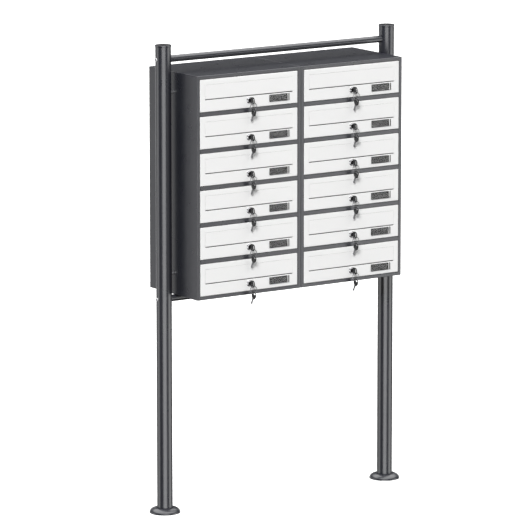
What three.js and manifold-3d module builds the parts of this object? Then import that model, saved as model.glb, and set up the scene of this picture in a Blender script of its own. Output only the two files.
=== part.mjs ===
// Cluster mailbox unit: twelve letter compartments in two steel cabinets, held between two round posts.
// Millimetres, +Z up. The doors face -Y, and X runs to the right as seen from the front.
// The origin is on the ground, under the middle of the whole unit's outline.

import * as THREE from 'three';
import { mergeVertices } from 'three/addons/utils/BufferGeometryUtils.js';
import Module from 'manifold-3d';

// ---- Driving dimensions -------------------------------------------------------------------------

const GAP = 0.3; // clearance between pieces that touch in the real unit

// Stand
const HEIGHT = 1500;
const POST_RADIUS = 25;
const POST_WALL = 2;
const CAP_RADIUS = 26;
const CAP_LIP = 5.5;
const CAP_CROWN = 1.2;
const CAP_EDGE = 0.8; // chamfer of the lip's upper edge
const CAP_SHOULDER = 0.3; // drop of the crown halfway out
const CAP_SPIGOT = 14;
const FOOT_RADIUS = 49.5;
const FOOT_COLLAR = 27;
const FOOT_HEIGHT = 17;
const FOOT_PLATE = 3;
const FOOT_EDGE = 1.6;
const DOME_STEPS = 5;
const BAR_RADIUS = 11;
const TOP_BAR_Z = 1453;
const POST_SIDES = 28;
const BAR_SIDES = 16;
const PIN_SIDES = 6;
const CUT = 1; // how far a cutting body reaches past the surface that it opens

// Cabinets
const SHEET = 1.5;
const CABINET_WIDTH = 785;
const CABINET_DEPTH = 275;
const CABINET_BASE = 702;
const SIDE_SPACE = 11; // between a cabinet's side and the post
const SPACER_RADIUS = 5.5;
const SPACER_SIDES = 10;
const SPACER_HEIGHTS = [70, 646.5]; // above the cabinet's base
const ROWS = 6;
const END_RAIL = 11.4; // above the top door and below the bottom door
const MID_RAIL = 13; // between two doors
const OUTER_FRAME = 11.6; // beside the doors, at the unit's outer sides
const INNER_FRAME = 12.5; // beside the doors, at the middle of the unit
const FRAME_DEPTH = 12; // how far the frame's folded edges reach back

// Doors
const OPENING_HEIGHT = 103.7;
const SIDE_PLAY = 0.4;
const TOP_PLAY = 0.9;
const BOTTOM_PLAY = 0.5;
const PAN_DEPTH = 12;
const BEND = 2; // outer radius of a folded edge
const DOOR_PIN_INSET = 3; // of the hinge axis, from the door's top and from its face
const DOOR_PIN_RADIUS = 1.5;
const DOOR_PIN_TIP = 0.8; // past the sheet that the pin turns in
const PIN_PLAY = 0.5;

// Letter slot and flap
const SLOT_WIDTH = 331;
const SLOT_DROP = 16.8; // from the door's top edge to the slot
const SLOT_HEIGHT = 47.8;
const SLOT_FOLD = 6; // how far the slot's folded edges reach back
const FLAP_SIDE_PLAY = 0.5;
const FLAP_TOP_PLAY = 0.4;
const FLAP_BOTTOM_PLAY = 1.3;
const FLAP_HEM = 6;
const FLAP_ROLL_RADIUS = 1.75;
const FLAP_ROLL_SIDES = 8;
const FLAP_AXIS_DROP = 2.3; // below the slot's top edge
const FLAP_AXIS_INSET = 2.5; // behind the door's face
const FLAP_PIN_RADIUS = 0.9;
const FLAP_PIN_TIP = 0.6; // past the sheet that the pin turns in

// Lock and keys
const LOCK_Z = 25; // above the bottom of the door's opening
const PLUG_RADIUS = 8;
const PLUG_SIDES = 14;
const PLUG_PROUD = 5;
const PLUG_DEPTH = 14;
const CAM_THICKNESS = 2;
const CAM_LENGTH = 33;
const CAM_WIDTH = 12;
const CAM_SIDES = 8;
const BOW = { width: 22, length: 23.5, thickness: 3, corner: 7 };
const BOW_SLOT = { half: 7, radius: 3, inset: 5.5 }; // for the ring, across the bow's outer end
const BOW_START = 5.5; // from the door's face to the bow of the key in the lock
const BLADE = { width: 7.5, thickness: 2, length: 21 };
const RING_RADIUS = 12;
const RING_WIRE = 0.9;
const RING_SEGMENTS = { wire: 5, ring: 16 };
const RING_PLAY = 0.4; // between the ring and the end of the slot it lies in
const SPARE_SHIFT = 3.6; // the spare key hangs beside the middle of the ring
const SPARE_LEAN = 25; // degrees, with its tip towards the door

// ---- Derived dimensions -------------------------------------------------------------------------

const FRONT = -CABINET_DEPTH / 2;
const CABINET_HEIGHT = 2 * END_RAIL + ROWS * OPENING_HEIGHT + (ROWS - 1) * MID_RAIL;
const CABINET_TOP = CABINET_BASE + CABINET_HEIGHT;
const ROW_PITCH = OPENING_HEIGHT + MID_RAIL;
const POST_X = CABINET_WIDTH / 2 + SIDE_SPACE + POST_RADIUS;
const LOW_BAR_Z = CABINET_BASE - GAP - BAR_RADIUS;

const CASING_WIDTH = CABINET_WIDTH / 2 - GAP / 2;
const OPENING_WIDTH = CASING_WIDTH - OUTER_FRAME - INNER_FRAME;

const DOOR_BOTTOM = BOTTOM_PLAY;
const DOOR_TOP = OPENING_HEIGHT - TOP_PLAY;
const DOOR_HALF = OPENING_WIDTH / 2 - SIDE_PLAY;
const DOOR_AXIS = { y: DOOR_PIN_INSET, z: DOOR_TOP - DOOR_PIN_INSET };

const SLOT_TOP = DOOR_TOP - SLOT_DROP;
const SLOT_BOTTOM = SLOT_TOP - SLOT_HEIGHT;
const FLAP_HALF = SLOT_WIDTH / 2 - FLAP_SIDE_PLAY;
const FLAP_AXIS = { y: FLAP_AXIS_INSET, z: SLOT_TOP - FLAP_AXIS_DROP };

const RING_Y = -(BOW_START + BOW.length - BOW_SLOT.inset);
const RING_TOP = LOCK_Z - BOW_SLOT.half + RING_WIRE + RING_PLAY; // in the lower end of the slot

// ---- Materials ----------------------------------------------------------------------------------

const powderGrey = new THREE.MeshStandardMaterial({ color: 0x4c4d52, roughness: 0.45, metalness: 0.3 });
const powderWhite = new THREE.MeshStandardMaterial({ color: 0xf0f0f0, roughness: 0.4, metalness: 0.1 });
const capBlack = new THREE.MeshStandardMaterial({ color: 0x3a3b3f, roughness: 0.5, metalness: 0.1 });
const lockSteel = new THREE.MeshStandardMaterial({ color: 0x2b2b2d, roughness: 0.3, metalness: 0.6 });
const keySteel = new THREE.MeshStandardMaterial({ color: 0xb9babd, roughness: 0.25, metalness: 0.95 });

// ---- Solids -------------------------------------------------------------------------------------

const wasm = await Module();
wasm.setup();

const WELD = 1e-4;

// A closed three.js geometry as a solid. Its shared corners are merged, and triangles that this
// closes to a line, such as those on a turned profile's axis, are dropped.
function solid(geometry) {
  const bare = geometry.clone();
  bare.deleteAttribute('normal');
  bare.deleteAttribute('uv');
  const merged = mergeVertices(bare, WELD);
  const triangles = [];
  for (let i = 0; i < merged.index.count; i += 3) {
    const [a, b, c] = [0, 1, 2].map((k) => merged.index.getX(i + k));
    if (a !== b && b !== c && c !== a) triangles.push(a, b, c);
  }
  const mesh = new wasm.Mesh({
    numProp: 3,
    vertProperties: new Float32Array(merged.attributes.position.array),
    triVerts: new Uint32Array(triangles),
  });
  return new wasm.Manifold(mesh);
}

function join(first, ...others) {
  return others.reduce((whole, other) => whole.add(other), first);
}

function cut(first, ...others) {
  return others.reduce((whole, other) => whole.subtract(other), first);
}

// A solid as a three.js geometry with flat facets.
function geometryOf(piece) {
  const { vertProperties, triVerts, numProp } = piece.getMesh();
  const positions = new Float32Array(triVerts.length * 3);
  triVerts.forEach((vertex, i) => {
    for (let k = 0; k < 3; k += 1) positions[3 * i + k] = vertProperties[vertex * numProp + k];
  });
  const geometry = new THREE.BufferGeometry();
  geometry.setAttribute('position', new THREE.BufferAttribute(positions, 3));
  geometry.computeVertexNormals();
  return geometry;
}

// A block between two values on each axis.
function block([x0, x1], [y0, y1], [z0, z1]) {
  const geometry = new THREE.BoxGeometry(x1 - x0, y1 - y0, z1 - z0);
  geometry.translate((x0 + x1) / 2, (y0 + y1) / 2, (z0 + z1) / 2);
  return solid(geometry);
}

// A round bar along X, Y or Z, between two values on that axis.
function rod(axis, radius, [from, to], sides, [x, y, z] = [0, 0, 0]) {
  const geometry = new THREE.CylinderGeometry(radius, radius, to - from, sides);
  geometry.translate(0, (from + to) / 2, 0);
  if (axis === 'x') geometry.rotateZ(-Math.PI / 2);
  if (axis === 'z') geometry.rotateX(Math.PI / 2);
  geometry.translate(x, y, z);
  return solid(geometry);
}

// A profile of (radius, height) points turned about Z.
function turned(points, sides) {
  const profile = points.map(([r, z]) => new THREE.Vector2(r, z));
  const geometry = new THREE.LatheGeometry(profile, sides);
  geometry.rotateX(Math.PI / 2);
  return solid(geometry);
}

// An outline drawn in (y, z), extruded along X.
function sheetAlongX(shape, [x0, x1], curveSegments) {
  const geometry = new THREE.ExtrudeGeometry(shape, { depth: x1 - x0, bevelEnabled: false, curveSegments });
  const [xAxis, yAxis, zAxis] = [[0, 1, 0], [0, 0, 1], [1, 0, 0]].map((v) => new THREE.Vector3(...v));
  geometry.applyMatrix4(new THREE.Matrix4().makeBasis(xAxis, yAxis, zAxis));
  return geometry.translate(x0, 0, 0);
}

// ---- Stand --------------------------------------------------------------------------------------

const POST_TOP = HEIGHT - CAP_CROWN - CAP_LIP - GAP;
const POST_BOTTOM = FOOT_PLATE + GAP;

function post() {
  const tube = rod('z', POST_RADIUS, [POST_BOTTOM, POST_TOP], POST_SIDES);
  const bore = rod('z', POST_RADIUS - POST_WALL, [POST_BOTTOM - CUT, POST_TOP + CUT], POST_SIDES);
  return cut(tube, bore);
}

// Pushed into the post's open top, with a lip a little wider than the post.
function cap() {
  const lipBase = HEIGHT - CAP_CROWN - CAP_LIP;
  const plug = POST_RADIUS - POST_WALL - GAP;
  return turned([
    [0, lipBase - CAP_SPIGOT],
    [plug, lipBase - CAP_SPIGOT],
    [plug, lipBase],
    [CAP_RADIUS, lipBase],
    [CAP_RADIUS, lipBase + CAP_LIP - CAP_EDGE],
    [CAP_RADIUS - CAP_EDGE, lipBase + CAP_LIP],
    [CAP_RADIUS / 2, HEIGHT - CAP_SHOULDER],
    [0, HEIGHT],
  ], POST_SIDES);
}

// A base plate with a domed cover that rises to a collar round the post.
function foot() {
  const dome = [];
  for (let i = 0; i <= DOME_STEPS; i += 1) {
    const turn = (i / DOME_STEPS) * (Math.PI / 2);
    dome.push([
      FOOT_COLLAR + (FOOT_RADIUS - FOOT_COLLAR) * Math.cos(turn),
      FOOT_EDGE + (FOOT_HEIGHT - FOOT_EDGE) * Math.sin(turn),
    ]);
  }
  const socket = POST_RADIUS + GAP;
  const profile = [
    [0, 0], [FOOT_RADIUS, 0], ...dome, [socket, FOOT_HEIGHT], [socket, FOOT_PLATE], [0, FOOT_PLATE],
  ];
  return turned(profile, POST_SIDES);
}

function postClearance(side) {
  return rod('z', POST_RADIUS + GAP, [0, HEIGHT], POST_SIDES, [side * POST_X, 0, 0]);
}

// A tube between the posts, shaped at each end to the post that it meets.
function crossbar(z) {
  const reach = POST_X - POST_RADIUS / 2;
  const bar = rod('x', BAR_RADIUS, [-reach, reach], BAR_SIDES, [0, 0, z]);
  return cut(bar, postClearance(-1), postClearance(1));
}

// ---- Cabinets -----------------------------------------------------------------------------------

// The middle of a column's door openings, which lie nearer to the unit's middle than its outer side.
function openingX(side) {
  return side * (GAP / 2 + INNER_FRAME + OPENING_WIDTH / 2);
}

// The bottom of the opening in each row, counted from the top.
function openingZ(row) {
  return CABINET_TOP - END_RAIL - row * OPENING_HEIGHT - (row - 1) * MID_RAIL;
}

function sorted(a, b) {
  return a < b ? [a, b] : [b, a];
}

function spacer(side, height) {
  const start = CABINET_WIDTH / 2 - SHEET / 2;
  const span = sorted(side * start, side * (start + SIDE_SPACE + POST_RADIUS / 2));
  return cut(rod('x', SPACER_RADIUS, span, SPACER_SIDES, [0, 0, CABINET_BASE + height]), postClearance(side));
}

function doorPinHoles(side) {
  const reach = OPENING_WIDTH / 2 + SHEET + CUT;
  return Array.from({ length: ROWS }, (_, i) => {
    const centre = [openingX(side), FRONT + DOOR_AXIS.y, openingZ(i + 1) + DOOR_AXIS.z];
    return rod('x', DOOR_PIN_RADIUS + PIN_PLAY, [-reach, reach], PIN_SIDES, centre);
  });
}

// Sides, top and bottom in one folded sheet, open at the back, with a channel frame round the front.
function casing(side) {
  const xs = sorted(side * GAP / 2, side * CABINET_WIDTH / 2);
  const zs = [CABINET_BASE, CABINET_TOP];
  const inner = ([a, b], inset) => [a + inset, b - inset];
  const door = [openingX(side) - OPENING_WIDTH / 2, openingX(side) + OPENING_WIDTH / 2];
  const doorZ = [CABINET_BASE + END_RAIL, CABINET_TOP - END_RAIL];
  const frameBack = FRONT + FRAME_DEPTH;
  const through = [FRONT - CUT, -FRONT + CUT];

  const wall = cut(block(xs, [FRONT, -FRONT], zs), block(inner(xs, SHEET), through, inner(zs, SHEET)));
  const frame = cut(block(xs, [FRONT, frameBack], zs), block(door, through, doorZ));
  const channel = cut(
    block(inner(xs, SHEET), [FRONT + SHEET, frameBack + CUT], inner(zs, SHEET)),
    block(inner(door, -SHEET), through, inner(doorZ, -SHEET)),
  );
  const shell = join(wall, cut(frame, channel), ...SPACER_HEIGHTS.map((h) => spacer(side, h)));
  return cut(shell, ...doorPinHoles(side));
}

// The back panel and five shelves. Each shelf's front edge is folded up and back, which makes the
// rail between two doors, and the lock's cam reaches down behind that rail.
function rack(side) {
  const xs = sorted(side * (GAP / 2 + SHEET + GAP), side * (CABINET_WIDTH / 2 - SHEET - GAP));
  const half = OPENING_WIDTH / 2 - GAP;
  const railX = [openingX(side) - half, openingX(side) + half];
  const back = [-FRONT - SHEET, -FRONT];
  const panel = block(xs, back, [CABINET_BASE + SHEET + GAP, CABINET_TOP - SHEET - GAP]);
  const shelves = [];
  for (let row = 1; row < ROWS; row += 1) {
    const top = openingZ(row);
    const floor = [top - MID_RAIL, top - MID_RAIL + SHEET];
    shelves.push(
      block(xs, [FRONT + FRAME_DEPTH + GAP, -FRONT - SHEET / 2], floor),
      block(railX, [FRONT, FRONT + FRAME_DEPTH + 1], floor),
      block(railX, [FRONT, FRONT + SHEET], [top - MID_RAIL, top]),
      block(railX, [FRONT, FRONT + FRAME_DEPTH], [top - SHEET, top]),
    );
  }
  return join(panel, ...shelves);
}

// ---- Door set, in the opening's own frame --------------------------------------------------------
// x = 0 at the middle of the opening, y = 0 at the door's face with +Y inwards, z = 0 at its bottom.

// The pan in (y, z), with round bends at the top and bottom of its face.
function panOutline() {
  const shape = new THREE.Shape();
  shape.moveTo(PAN_DEPTH, DOOR_BOTTOM);
  shape.lineTo(PAN_DEPTH, DOOR_TOP);
  shape.lineTo(BEND, DOOR_TOP);
  shape.absarc(BEND, DOOR_TOP - BEND, BEND, Math.PI / 2, Math.PI, false);
  shape.lineTo(0, DOOR_BOTTOM + BEND);
  shape.absarc(BEND, DOOR_BOTTOM + BEND, BEND, Math.PI, 1.5 * Math.PI, false);
  shape.closePath();
  return shape;
}

function door() {
  const slotX = [-SLOT_WIDTH / 2, SLOT_WIDTH / 2];
  const slotZ = [SLOT_BOTTOM, SLOT_TOP];
  const grown = ([a, b]) => [a - SHEET, b + SHEET];
  const inner = ([a, b]) => [a + SHEET, b - SHEET];
  const pan = cut(
    solid(sheetAlongX(panOutline(), [-DOOR_HALF, DOOR_HALF], 1)),
    block(inner([-DOOR_HALF, DOOR_HALF]), [SHEET, PAN_DEPTH + CUT], inner([DOOR_BOTTOM, DOOR_TOP])),
  );
  const folds = block(grown(slotX), [SHEET / 2, SLOT_FOLD], grown(slotZ));
  const slot = block(slotX, [-CUT, SLOT_FOLD + CUT], slotZ);
  const lockHole = rod('y', PLUG_RADIUS + PIN_PLAY, [-CUT, SHEET + CUT], PLUG_SIDES, [0, 0, LOCK_Z]);
  const flapPinReach = SLOT_WIDTH / 2 + SHEET + CUT;
  const flapPins = rod('x', FLAP_PIN_RADIUS + PIN_PLAY, [-flapPinReach, flapPinReach], PIN_SIDES,
    [0, FLAP_AXIS.y, FLAP_AXIS.z]);
  const body = cut(join(pan, folds), slot, lockHole, flapPins);
  const pinStart = DOOR_HALF - SHEET / 2;
  const pinEnd = OPENING_WIDTH / 2 + SHEET + DOOR_PIN_TIP;
  const pins = [[pinStart, pinEnd], [-pinEnd, -pinStart]]
    .map((span) => rod('x', DOOR_PIN_RADIUS, span, PIN_SIDES, [0, DOOR_AXIS.y, DOOR_AXIS.z]));
  return join(body, ...pins);
}

function flap() {
  const xs = [-FLAP_HALF, FLAP_HALF];
  const bottom = SLOT_BOTTOM + FLAP_BOTTOM_PLAY;
  const centre = [0, FLAP_AXIS.y, FLAP_AXIS.z];
  const pinEnd = SLOT_WIDTH / 2 + SHEET + FLAP_PIN_TIP;
  return join(
    block(xs, [0, SHEET], [bottom, SLOT_TOP - FLAP_TOP_PLAY]),
    block(xs, [0, FLAP_HEM], [bottom, bottom + SHEET]),
    rod('x', FLAP_ROLL_RADIUS, xs, FLAP_ROLL_SIDES, centre),
    rod('x', FLAP_PIN_RADIUS, [-pinEnd, pinEnd], PIN_SIDES, centre),
  );
}

// A key laid along +Y, with the middle of its slot at the origin, and then moved into place. Its bow
// is a square with well-rounded corners, and the slot for the ring runs across its outer end.
function key(bladeLength, place) {
  const [start, end, b, c] = [-BOW_SLOT.inset, BOW.length - BOW_SLOT.inset, BOW.width / 2, BOW.corner];
  const right = Math.PI / 2;
  const quarter = (path, y, z, radius, i) => path.absarc(y, z, radius, i * right, (i + 1) * right);
  const shape = new THREE.Shape();
  [[end - c, b - c], [start + c, b - c], [start + c, c - b], [end - c, c - b]]
    .forEach(([y, z], i) => quarter(shape, y, z, c, i));
  const slot = new THREE.Path();
  const lift = BOW_SLOT.half - BOW_SLOT.radius;
  [lift, lift, -lift, -lift].forEach((z, i) => quarter(slot, 0, z, BOW_SLOT.radius, i));
  shape.holes.push(slot);
  const bow = sheetAlongX(shape, [-BOW.thickness / 2, BOW.thickness / 2], 1);
  const blade = new THREE.BoxGeometry(BLADE.thickness, bladeLength + 1, BLADE.width);
  blade.translate(0, end + (bladeLength - 1) / 2, 0);
  return join(solid(bow.applyMatrix4(place)), solid(blade.applyMatrix4(place)));
}

// The plug with its cam behind the door and its key in front. At rest the key stands upright and the
// cam points sideways, so the door is free. A quarter turn brings the cam down behind the rail.
function lock() {
  const cam = join(
    rod('y', CAM_WIDTH / 2, [PLUG_DEPTH - 1, PLUG_DEPTH + CAM_THICKNESS], CAM_SIDES, [0, 0, LOCK_Z]),
    block([0, CAM_LENGTH], [PLUG_DEPTH, PLUG_DEPTH + CAM_THICKNESS],
      [LOCK_Z - CAM_WIDTH / 2, LOCK_Z + CAM_WIDTH / 2]),
  );
  const inserted = key(BOW_START - PLUG_PROUD + 1, new THREE.Matrix4().makeTranslation(0, RING_Y, LOCK_Z));
  return join(rod('y', PLUG_RADIUS, [-PLUG_PROUD, PLUG_DEPTH], PLUG_SIDES, [0, 0, LOCK_Z]), cam, inserted);
}

// The split ring through the bow of the key in the lock, and the spare key that hangs on it.
function keys() {
  const ring = new THREE.TorusGeometry(RING_RADIUS, RING_WIRE, RING_SEGMENTS.wire, RING_SEGMENTS.ring);
  ring.rotateX(Math.PI / 2);
  ring.translate(0, RING_Y, RING_TOP - RING_RADIUS);
  return join(solid(ring), key(BLADE.length, sparePlace()));
}

// Where the spare key hangs: the ring's wire bears on the long edge of its slot.
function sparePlace() {
  const drop = RING_RADIUS + Math.sqrt(RING_RADIUS ** 2 - SPARE_SHIFT ** 2);
  const lean = THREE.MathUtils.degToRad(SPARE_LEAN);
  const down = new THREE.Vector3(0, Math.sin(lean), -Math.cos(lean));
  const bite = 0.5; // the wire and the key are one solid, so they overlap a little
  const middle = new THREE.Vector3(SPARE_SHIFT, RING_Y, RING_TOP - drop)
    .addScaledVector(down, BOW_SLOT.radius - RING_WIRE + bite);
  return new THREE.Matrix4().makeRotationX(lean - Math.PI / 2).setPosition(middle);
}

// ---- Assembly -----------------------------------------------------------------------------------

function part(name, geometry, material, position = [0, 0, 0]) {
  const mesh = new THREE.Mesh(geometry, material);
  mesh.name = name;
  mesh.position.set(...position);
  return mesh;
}

function stand() {
  const group = new THREE.Group();
  const shapes = { post: [post(), powderGrey], cap: [cap(), capBlack], foot: [foot(), powderGrey] };
  for (const [name, [piece, material]] of Object.entries(shapes)) {
    const geometry = geometryOf(piece);
    group.add(part(`${name}_left`, geometry, material, [-POST_X, 0, 0]));
    group.add(part(`${name}_right`, geometry, material, [POST_X, 0, 0]));
  }
  group.add(part('crossbar_top', geometryOf(crossbar(TOP_BAR_Z)), powderGrey));
  group.add(part('crossbar_bottom', geometryOf(crossbar(LOW_BAR_Z)), powderGrey));
  return group;
}

function cabinets() {
  const group = new THREE.Group();
  for (const [name, side] of [['left', -1], ['right', 1]]) {
    group.add(part(`casing_${name}`, geometryOf(casing(side)), powderGrey));
    group.add(part(`shelf_rack_${name}`, geometryOf(rack(side)), powderGrey));
  }
  return group;
}

function doorSets() {
  const group = new THREE.Group();
  const shapes = {
    door: [geometryOf(door()), powderWhite],
    flap: [geometryOf(flap()), powderWhite],
    lock: [geometryOf(lock()), lockSteel],
    keys: [geometryOf(keys()), keySteel],
  };
  for (const [column, side] of [['left', -1], ['right', 1]]) {
    for (let row = 1; row <= ROWS; row += 1) {
      const set = new THREE.Group();
      set.position.set(openingX(side), FRONT, openingZ(row));
      for (const [name, [geometry, material]] of Object.entries(shapes)) {
        set.add(part(`${name}_${column}_${row}`, geometry, material));
      }
      group.add(set);
    }
  }
  return group;
}

// How far the keys stand out in front of the doors: the upper corner of the leaning spare key's bow.
function keyReach() {
  const box = new THREE.Box3().setFromBufferAttribute(geometryOf(keys()).getAttribute('position'));
  return -box.min.y;
}

const mailbox = new THREE.Group();
mailbox.add(stand(), cabinets(), doorSets());
mailbox.position.y = keyReach() / 2; // centres the outline, which the keys lengthen at the front

export default mailbox;
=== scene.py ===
"""Looks of the cluster mailbox unit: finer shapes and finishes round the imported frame, light and camera.

Shapes are written in millimetres and turned to metres as each mesh is made. A door's pieces are
written in the opening's own frame: x = 0 in its middle, y = 0 at the door's face with +y inwards,
and z = 0 at the opening's bottom. The twelve sets share their meshes.
"""

import math

import bmesh
import bpy
from mathutils import Matrix, Vector


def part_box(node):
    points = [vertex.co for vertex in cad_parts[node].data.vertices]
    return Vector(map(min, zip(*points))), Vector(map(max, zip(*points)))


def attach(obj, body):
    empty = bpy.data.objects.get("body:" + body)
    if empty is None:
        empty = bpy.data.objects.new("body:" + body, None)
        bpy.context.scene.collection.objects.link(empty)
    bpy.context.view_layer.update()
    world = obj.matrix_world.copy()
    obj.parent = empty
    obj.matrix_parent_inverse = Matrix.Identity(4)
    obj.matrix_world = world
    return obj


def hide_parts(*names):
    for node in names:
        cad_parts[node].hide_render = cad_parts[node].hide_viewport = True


MM = 0.001
COLUMNS = ("left", "right")
ROWS = 6

# ---- Dimensions shared with the CAD, in millimetres ---------------------------------------------

SHEET = 1.5
FOLD_RADIUS = 2.0

POST_RADIUS = 25.0
POST_WALL = 2.0
CAP_RADIUS = 26.0
CAP_LIP = 5.5
CAP_CROWN = 1.2
CAP_FACE = 0.15
CAP_RIM = 1.2
CAP_EDGE = 0.4
CAP_SPIGOT = 14.0
CAP_SHOULDER = 1.0
FOOT_RADIUS = 49.5
FOOT_COLLAR = 27.0
FOOT_HEIGHT = 17.0
FOOT_PLATE = 3.0
FOOT_EDGE = 1.6
FOOT_ROUND = 0.5
FOOT_MOUTH = 0.4
BAR_RADIUS = 11.0
FIT = 0.3

SPACER_RADIUS = 5.5
SPACER_HEIGHTS = (70.0, 646.5)
CABINET_BASE = 702.0
END_RAIL = 11.4
OUTER_FRAME = 11.6
INNER_FRAME = 12.5
FRAME_DEPTH = 12.0

DOOR_LOWEST = 0.5
DOOR_TOP = 102.8
DOOR_HALF = 183.725
PAN_DEPTH = 12.0
PIN_INSET = 3.0
PIN_RADIUS = 1.5
PIN_END = 186.425

SLOT_HALF = 165.5
SLOT_TOP = 86.0
SLOT_BOTTOM = 38.2
SLOT_FOLD = 6.0
SLOT_BEND = 0.4
FLAP_HALF = 165.0
FLAP_BOTTOM = 40.3
FLAP_TOP = 85.6
FLAP_HEM = 6.0
FLAP_BEND = 1.6
FLAP_AXIS = (2.5, 83.7)
FLAP_ROLL = 1.75
FLAP_PIN = 0.9
FLAP_PIN_END = 167.6
# The black strip in the slot's lower fold is painted shade: it darkens the slot's line where the gap lies in
# shadow.
SLOT_SHADE_STRIP = {"end": 0.5, "front": 0.5, "back": 0.2, "thickness": 0.6}
PIP = {"radius": 1.3, "proud": 0.6, "root": 0.4, "beside": 4.0, "above": 8.5}

LOCK_Z = 25.0
LOCK_HOLE = 8.5
LOCK_PROUD = 5.0
LOCK_DEPTH = 14.0
CAM = {"length": 33.0, "width": 12.0, "thickness": 2.0, "corner": 2.5}
BOW = {"width": 22.0, "length": 23.5, "thickness": 3.0, "corner": 9.1}
BOW_SLOT = {"half": 7.0, "radius": 3.0, "inset": 5.5}
BLADE = {"width": 7.5, "thickness": 2.0, "length": 21.0, "inside": 0.4, "first": 5.0, "pitch": 2.4}
BLADE_SHOWN = 1.5
NOTCH = ((-0.9, 0), (-0.3, 1), (0.5, 1), (1.1, 0))  # along the blade, and share of the notch's depth
TIP = ((-2.2, 0.0), (-0.6, 1.9), (0.0, 2.6))  # along the blade from its end, and cut from its half width
RING_RADIUS = 12.0
RING_Y = -23.5
RING_TOP = 19.3
RING_WIRE = {"radial": 0.85, "axial": 0.45, "gap": 0.01}
RING_END = 0.05  # turns left open at each end of the wire
RING_STEP = (0.93, 0.14)  # where the wire steps to its second turn, and for how long, in turns
RING_START = 0.6
SPARE_REST = 0.9
SPARE_SHIFT = 3.6
SPARE_LEAN = 25.0

# ---- Mesh work ----------------------------------------------------------------------------------

SHARP = 40.0  # degrees between two faces past which their edge is rounded or stays sharp
NEAR = 1e-4


def mesh_of(name, bm):
    """A bmesh in millimetres as a mesh in metres."""
    bmesh.ops.recalc_face_normals(bm, faces=bm.faces)
    bmesh.ops.scale(bm, vec=(MM, MM, MM), verts=bm.verts)
    mesh = bpy.data.meshes.new(name)
    bm.to_mesh(mesh)
    bm.free()
    return mesh


def finished(mesh, thickness=0.0, bevel=0.0, segments=2, limit=SHARP):
    """The mesh with its sheet thickness and rounded edges applied, and shaded smooth.

    Its normals are weighted by the faces' areas. A flat face is then shaded as flat up to its rounded edges.
    """
    scratch = bpy.data.objects.new("scratch", mesh)
    bpy.context.scene.collection.objects.link(scratch)
    if thickness:
        solidify = scratch.modifiers.new("thickness", "SOLIDIFY")
        solidify.thickness = thickness * MM
        solidify.offset = -1.0
        solidify.use_even_offset = True
    if bevel:
        add_bevel(scratch, bevel, segments, limit)
    shaped = evaluated(scratch)
    shaped.shade_smooth()
    shaped.set_sharp_from_angle(angle=math.radians(limit))
    scratch.modifiers.clear()
    scratch.data = shaped
    scratch.modifiers.new("flat_faces", "WEIGHTED_NORMAL").keep_sharp = True
    result = evaluated(scratch)
    result.name = mesh.name + "_mesh"
    bpy.data.objects.remove(scratch)
    return result


def evaluated(obj):
    """The object's mesh with its modifiers applied."""
    graph = bpy.context.evaluated_depsgraph_get()
    shown = obj.evaluated_get(graph)
    return bpy.data.meshes.new_from_object(shown, preserve_all_data_layers=True, depsgraph=graph)


def add_bevel(obj, width, segments, limit):
    bevel = obj.modifiers.new("rounded_edges", "BEVEL")
    bevel.width = width * MM
    bevel.segments = segments
    bevel.limit_method = "ANGLE"
    bevel.angle_limit = math.radians(limit)
    bevel.use_clamp_overlap = True


def add_loop(bm, points):
    return [bm.verts.new(p) for p in points]


def bridge(bm, first, second):
    """Quads between two closed loops of the same length."""
    count = len(first)
    for i in range(count):
        j = (i + 1) % count
        bm.faces.new((first[i], first[j], second[j], second[i]))


def cap_loop(bm, loop):
    bm.faces.new(loop)


def around(axis, radius, angle, height, centre=(0.0, 0.0, 0.0)):
    """A point at that angle round an axis through centre, and at that height along it."""
    a, b = radius * math.cos(angle), radius * math.sin(angle)
    offset = {"x": (height, a, b), "y": (a, height, b), "z": (a, b, height)}[axis]
    return Vector(centre) + Vector(offset)


def turn(bm, profile, axis="z", sides=64, centre=(0.0, 0.0, 0.0), closed=False):
    """A profile of (radius, height) points turned about an axis.

    Its ends are capped, unless the profile is closed to a ring.
    """
    loops = []
    for radius, height in profile:
        if radius < NEAR:
            loops.append([bm.verts.new(around(axis, 0.0, 0.0, height, centre))])
        else:
            angles = (2 * math.pi * i / sides for i in range(sides))
            loops.append(add_loop(bm, [around(axis, radius, a, height, centre) for a in angles]))
    pairs = list(zip(loops, loops[1:])) + ([(loops[-1], loops[0])] if closed else [])
    for first, second in pairs:
        if len(first) == 1 or len(second) == 1:
            fan(bm, first, second)
        else:
            bridge(bm, first, second)
    if not closed:
        for loop in (loops[0], loops[-1]):
            if len(loop) > 1:
                cap_loop(bm, loop)


def fan(bm, first, second):
    """Triangles between a loop and a single point."""
    tip, rim = (first[0], second) if len(first) == 1 else (second[0], first)
    for i in range(len(rim)):
        bm.faces.new((tip, rim[i], rim[(i + 1) % len(rim)]))


def prism(bm, outline, x0, x1):
    """An outline of (y, z) points between two values of x."""
    start = add_loop(bm, [(x0, y, z) for y, z in outline])
    end = add_loop(bm, [(x1, y, z) for y, z in outline])
    bridge(bm, start, end)
    cap_loop(bm, start)
    cap_loop(bm, end)


def plate_with_hole(bm, outer, hole, x0, x1):
    """A plate across x between two (y, z) loops of the same length."""
    faces = [[add_loop(bm, [(x, y, z) for y, z in loop]) for loop in (outer, hole)] for x in (x0, x1)]
    (outer0, hole0), (outer1, hole1) = faces
    bridge(bm, outer0, outer1)
    bridge(bm, hole0, hole1)
    bridge(bm, outer0, hole0)
    bridge(bm, outer1, hole1)


def block(bm, x, y, z):
    """A block between two values on each axis."""
    outline = [(y[0], z[0]), (y[1], z[0]), (y[1], z[1]), (y[0], z[1])]
    prism(bm, outline, *x)


def arc(centre, radius, start, end, steps):
    """Points on an arc, angles in degrees."""
    angles = (math.radians(start + (end - start) * i / steps) for i in range(steps + 1))
    return [(centre[0] + radius * math.cos(a), centre[1] + radius * math.sin(a)) for a in angles]


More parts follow.
